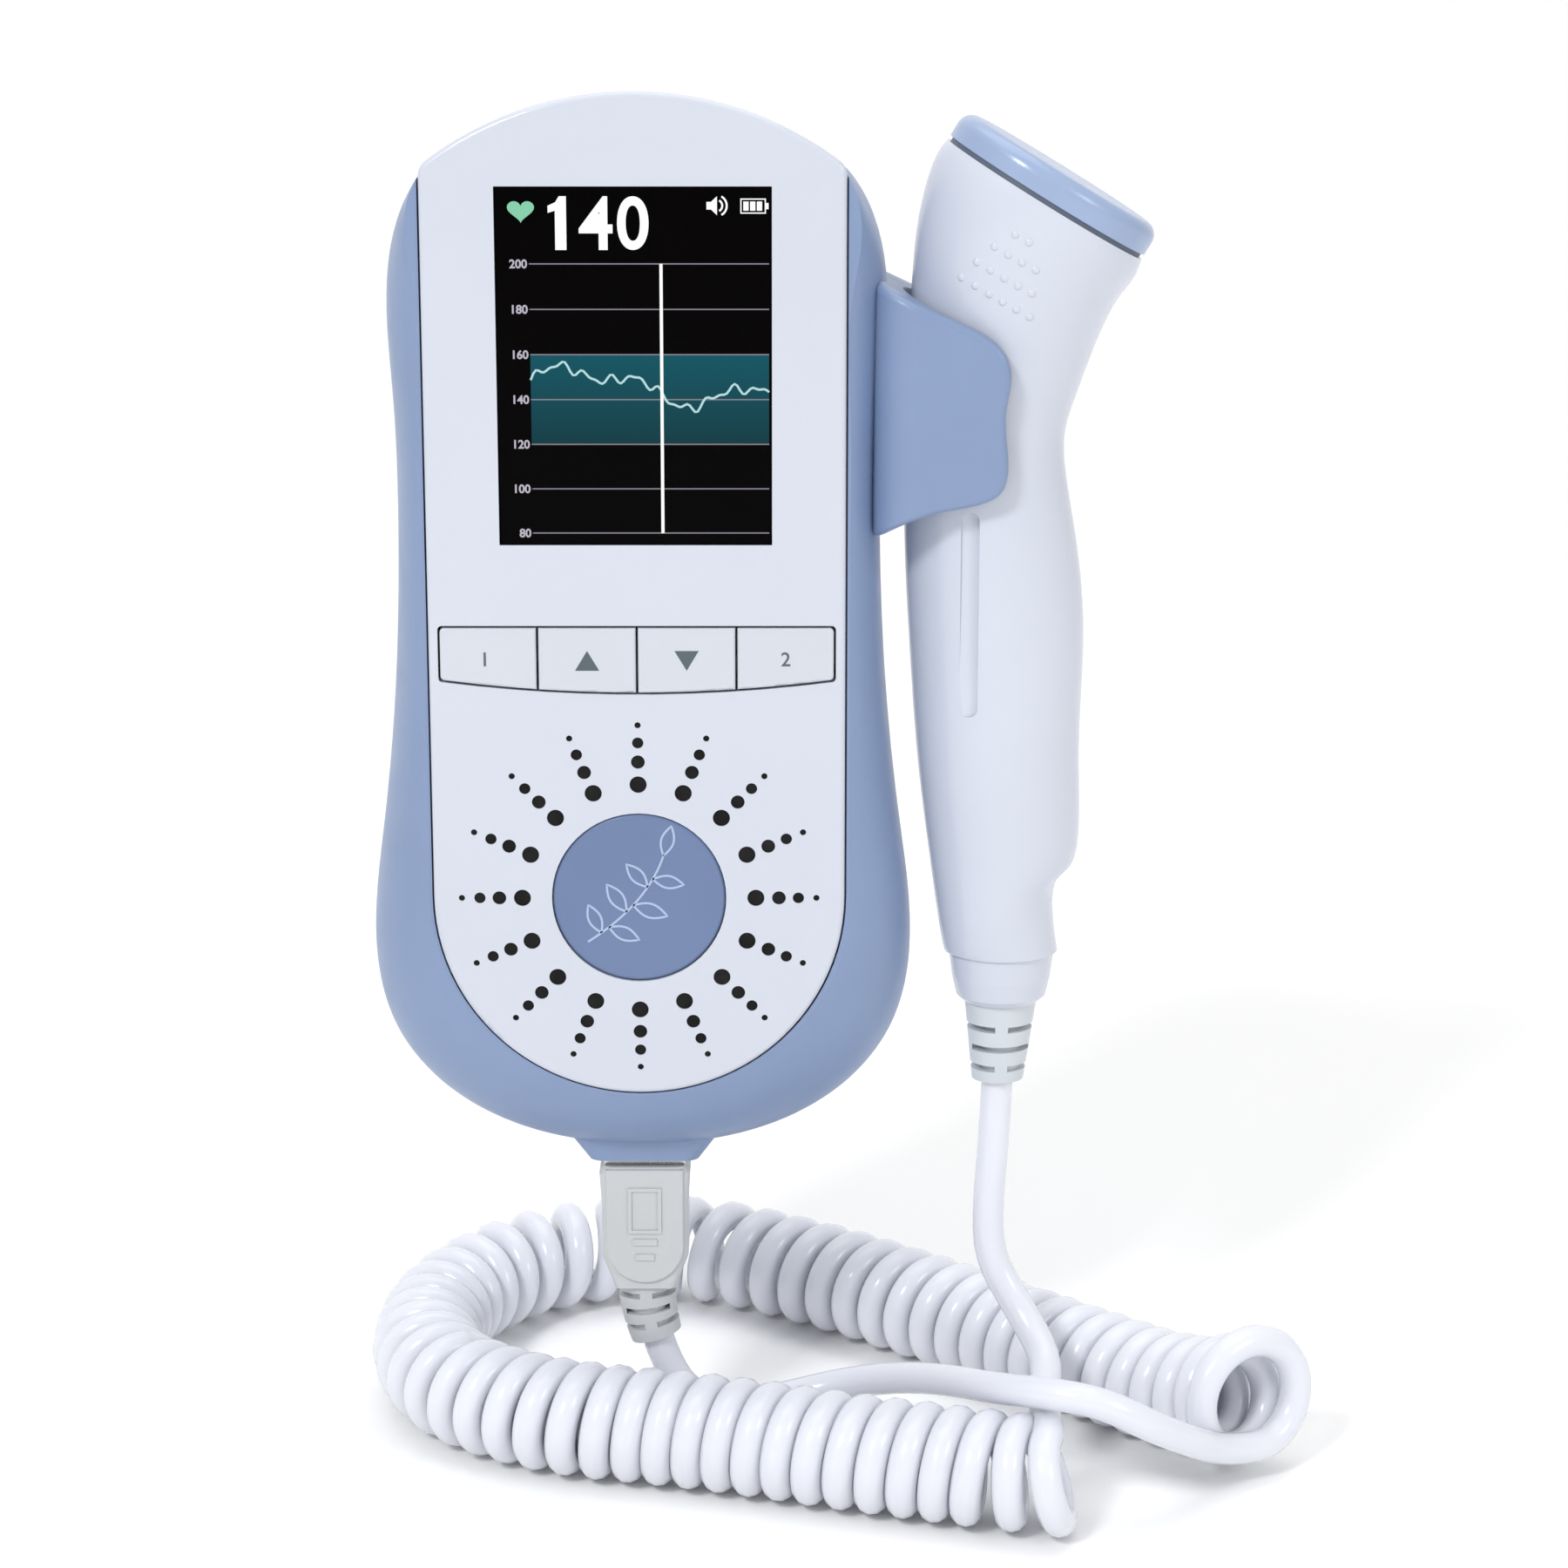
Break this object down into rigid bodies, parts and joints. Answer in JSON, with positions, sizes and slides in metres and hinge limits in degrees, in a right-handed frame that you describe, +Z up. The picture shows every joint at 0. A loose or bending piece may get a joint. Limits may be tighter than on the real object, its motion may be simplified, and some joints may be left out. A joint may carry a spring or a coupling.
{
  "type": "fetal doppler monitor",
  "caption": "Hand-held fetal doppler: main unit with colour screen, key row and round speaker grille, and a probe in a side clip, joined by a curly cord.",
  "frame": {"origin": "on the flat back of the main unit, on its middle line, where the key row is 18 mm above it", "axes": "+X to the unit's right as seen from its front, +Y out of its back, +Z up towards the top of the screen"},
  "size_m": [0.137, 0.1065, 0.198],
  "materials": {
    "blue_casing": "satin moulded ABS",
    "white_panel": "polished ABS",
    "window_black": "hard-coated acrylic",
    "display_glass": "glass on a metal tray",
    "frame_white": "moulded",
    "key_white": "fine satin",
    "silicone": "matt",
    "board_green": "solder mask",
    "component_black": "moulded epoxy",
    "screw_steel": "zinc plated",
    "foam_black": "open foam",
    "speaker_frame": "moulded",
    "cone_paper": "pressed paper",
    "magnet": "ferrite and steel",
    "cell_can": "printed wrap",
    "contact_steel": "nickel plated",
    "plug_grey": "moulded vinyl",
    "relief_white": "moulded vinyl",
    "cable_white": "extruded polyurethane",
    "probe_white": "polished ABS",
    "cap_blue": "polished",
    "seal_grey": "moulded",
    "crystal_silver": "silvered ceramic",
    "backing_epoxy": "cast"
  },
  "bodies": {
    "monitor": {"front_casing": "blue_casing", "rear_casing": "blue_casing", "front_panel": "white_panel", "screen_window": "window_black", "display_module": "display_glass", "display_frame": "frame_white", "key_mat": "silicone", "tact_switches": "component_black", "main_board": "board_green", "board_parts": "component_black", "board_screws": "screw_steel", "casing_screws": "screw_steel", "centre_disc": "blue_casing", "speaker_gasket": "foam_black", "speaker_frame": "speaker_frame", "speaker_cone": "cone_paper", "speaker_magnet": "magnet", "battery_cells": "cell_can", "battery_contacts": "contact_steel", "connector_socket": "contact_steel", "plug_shell": "contact_steel", "plug_body": "plug_grey", "plug_strain_relief": "plug_grey", "probe_holder": "blue_casing", "plug_cable": "cable_white", "probe_cable": "cable_white", "curly_cord": "cable_white"},
    "left_key": {"key_left": "key_white"},
    "up_key": {"key_up": "key_white"},
    "down_key": {"key_down": "key_white"},
    "right_key": {"key_right": "key_white"},
    "door": {"battery_door": "blue_casing"},
    "probe": {"probe_front_shell": "probe_white", "probe_rear_shell": "probe_white", "probe_cap": "cap_blue", "cap_seal": "seal_grey", "crystals": "crystal_silver", "crystal_backing": "backing_epoxy", "probe_board": "board_green", "probe_collar": "probe_white", "probe_strain_relief": "relief_white"}
  },
  "joints": [
    {"name": "key_left_press", "type": "slide", "parent": "monitor", "child": "left_key", "axis": [0, 1, 0], "range_m": [0, 0.0004], "stiffness_N_per_m": 600, "springref_m": -0.0002},
    {"name": "key_up_press", "type": "slide", "parent": "monitor", "child": "up_key", "axis": [0, 1, 0], "range_m": [0, 0.0004], "stiffness_N_per_m": 600, "springref_m": -0.0002},
    {"name": "key_down_press", "type": "slide", "parent": "monitor", "child": "down_key", "axis": [0, 1, 0], "range_m": [0, 0.0004], "stiffness_N_per_m": 600, "springref_m": -0.0002},
    {"name": "key_right_press", "type": "slide", "parent": "monitor", "child": "right_key", "axis": [0, 1, 0], "range_m": [0, 0.0004], "stiffness_N_per_m": 600, "springref_m": -0.0002},
    {"name": "battery_door_swing", "type": "hinge", "parent": "monitor", "child": "door", "pos_m": [0, 0, 0.0772], "axis": [1, 0, 0], "range_deg": [0, 80]},
    {"name": "probe_lift", "type": "slide", "parent": "monitor", "child": "probe", "axis": [0, 0, 1], "range_m": [0, 0.118], "deforming": ["probe_cable"]}
  ]
}
